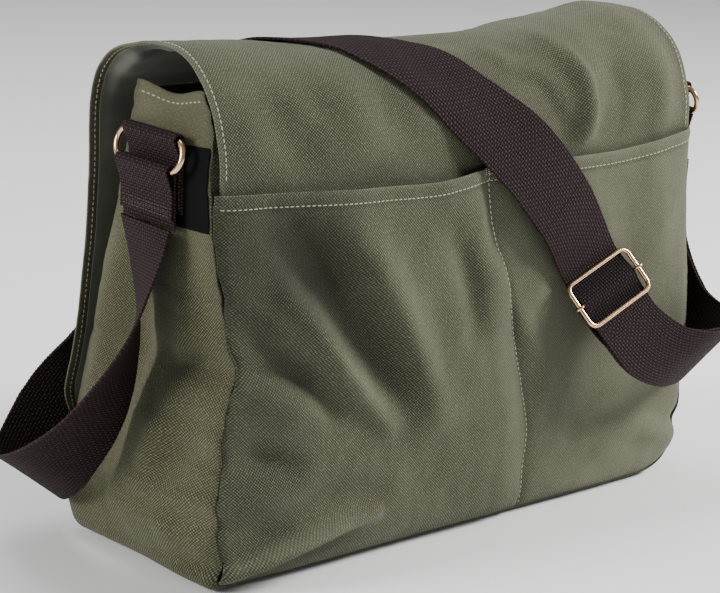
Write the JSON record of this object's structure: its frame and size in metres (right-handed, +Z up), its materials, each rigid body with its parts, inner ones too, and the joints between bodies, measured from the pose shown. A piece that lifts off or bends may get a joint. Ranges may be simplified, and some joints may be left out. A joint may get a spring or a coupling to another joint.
{
  "type": "messenger bag",
  "caption": "Canvas messenger bag with a fold-over flap, divided rear slip pocket, side rings and an adjustable webbing shoulder strap.",
  "frame": {"origin": "middle of the base, on the floor under the bag", "axes": "+Z up; -Y out of the rear slip pocket; +Y out of the hanging flap; X from one strap gusset to the other"},
  "size_m": [0.4911, 0.2179, 0.3015],
  "materials": {
    "canvas_body": "washed cotton canvas, olive khaki",
    "canvas_pocket": "washed cotton canvas, olive khaki",
    "canvas_gusset": "washed cotton canvas, yellowish olive",
    "canvas_flap": "washed cotton canvas, olive khaki",
    "inner_lining": "dark plain lining",
    "flap_lining": "smooth grey-olive lining",
    "webbing": "ribbed cotton webbing, dark aubergine",
    "label": "plain black woven label",
    "board": "base stiffener board",
    "antique_brass": "pale antique brass, satin",
    "snap_metal": "satin nickel-brass"
  },
  "bodies": {
    "shell": {"gusset_band": "canvas_gusset", "back_panel": "canvas_body", "front_panel": "canvas_body", "back_pocket": "canvas_pocket", "body_lining": "inner_lining", "base_board": "board", "side_label": "label", "tab_left": "webbing", "tab_right": "webbing", "flap_back": "canvas_flap", "snap_socket_left": "snap_metal", "snap_socket_right": "snap_metal", "snap_washer_left": "snap_metal", "snap_washer_right": "snap_metal", "strap_left_drop": "webbing", "strap_back_run": "webbing", "strap_right_return": "webbing"},
    "flap_top_body": {"flap_top": "canvas_flap", "flap_lining_top": "flap_lining", "strap_top_run": "webbing"},
    "flap_front_body": {"flap_front": "canvas_flap", "flap_lining_front": "flap_lining", "snap_stud_left": "snap_metal", "snap_stud_right": "snap_metal", "strap_front_run": "webbing"},
    "ring_left_body": {"ring_left": "antique_brass", "strap_left_end": "webbing"},
    "ring_right_body": {"ring_right": "antique_brass", "strap_right_end": "webbing"},
    "slide_body": {"slide_frame": "antique_brass"},
    "slide_bar_body": {"slide_bar": "antique_brass", "strap_sewn_end": "webbing"}
  },
  "joints": [
    {"name": "flap_hinge", "type": "hinge", "parent": "shell", "child": "flap_top_body", "pos_m": [0, -0.05284, 0.27284], "axis": [1, 0, 0], "range_deg": [0, 95]},
    {"name": "flap_fold", "type": "hinge", "parent": "flap_top_body", "child": "flap_front_body", "pos_m": [0, 0.07015, 0.25772], "axis": [1, 0, 0], "range_deg": [0, 88]},
    {"name": "ring_left_swing", "type": "hinge", "parent": "shell", "child": "ring_left_body", "pos_m": [-0.2032, -0.012, 0.255], "axis": [0, 1, 0], "range_deg": [0, 90]},
    {"name": "ring_right_swing", "type": "hinge", "parent": "shell", "child": "ring_right_body", "pos_m": [0.2032, -0.012, 0.255], "axis": [0, -1, 0], "range_deg": [0, 90]},
    {"name": "slide_adjust", "type": "slide", "parent": "shell", "child": "slide_body", "axis": [0.49, -0.346, -0.8001], "range_m": [-0.004, 0.01]},
    {"name": "slide_bar_travel", "type": "slide", "parent": "slide_body", "child": "slide_bar_body", "axis": [0.49, -0.346, -0.8001], "range_m": [-0.006, 0.006]}
  ],
  "couplings": [
    {"joint": "flap_fold", "follows": "flap_hinge", "ratio": 0.92}
  ]
}
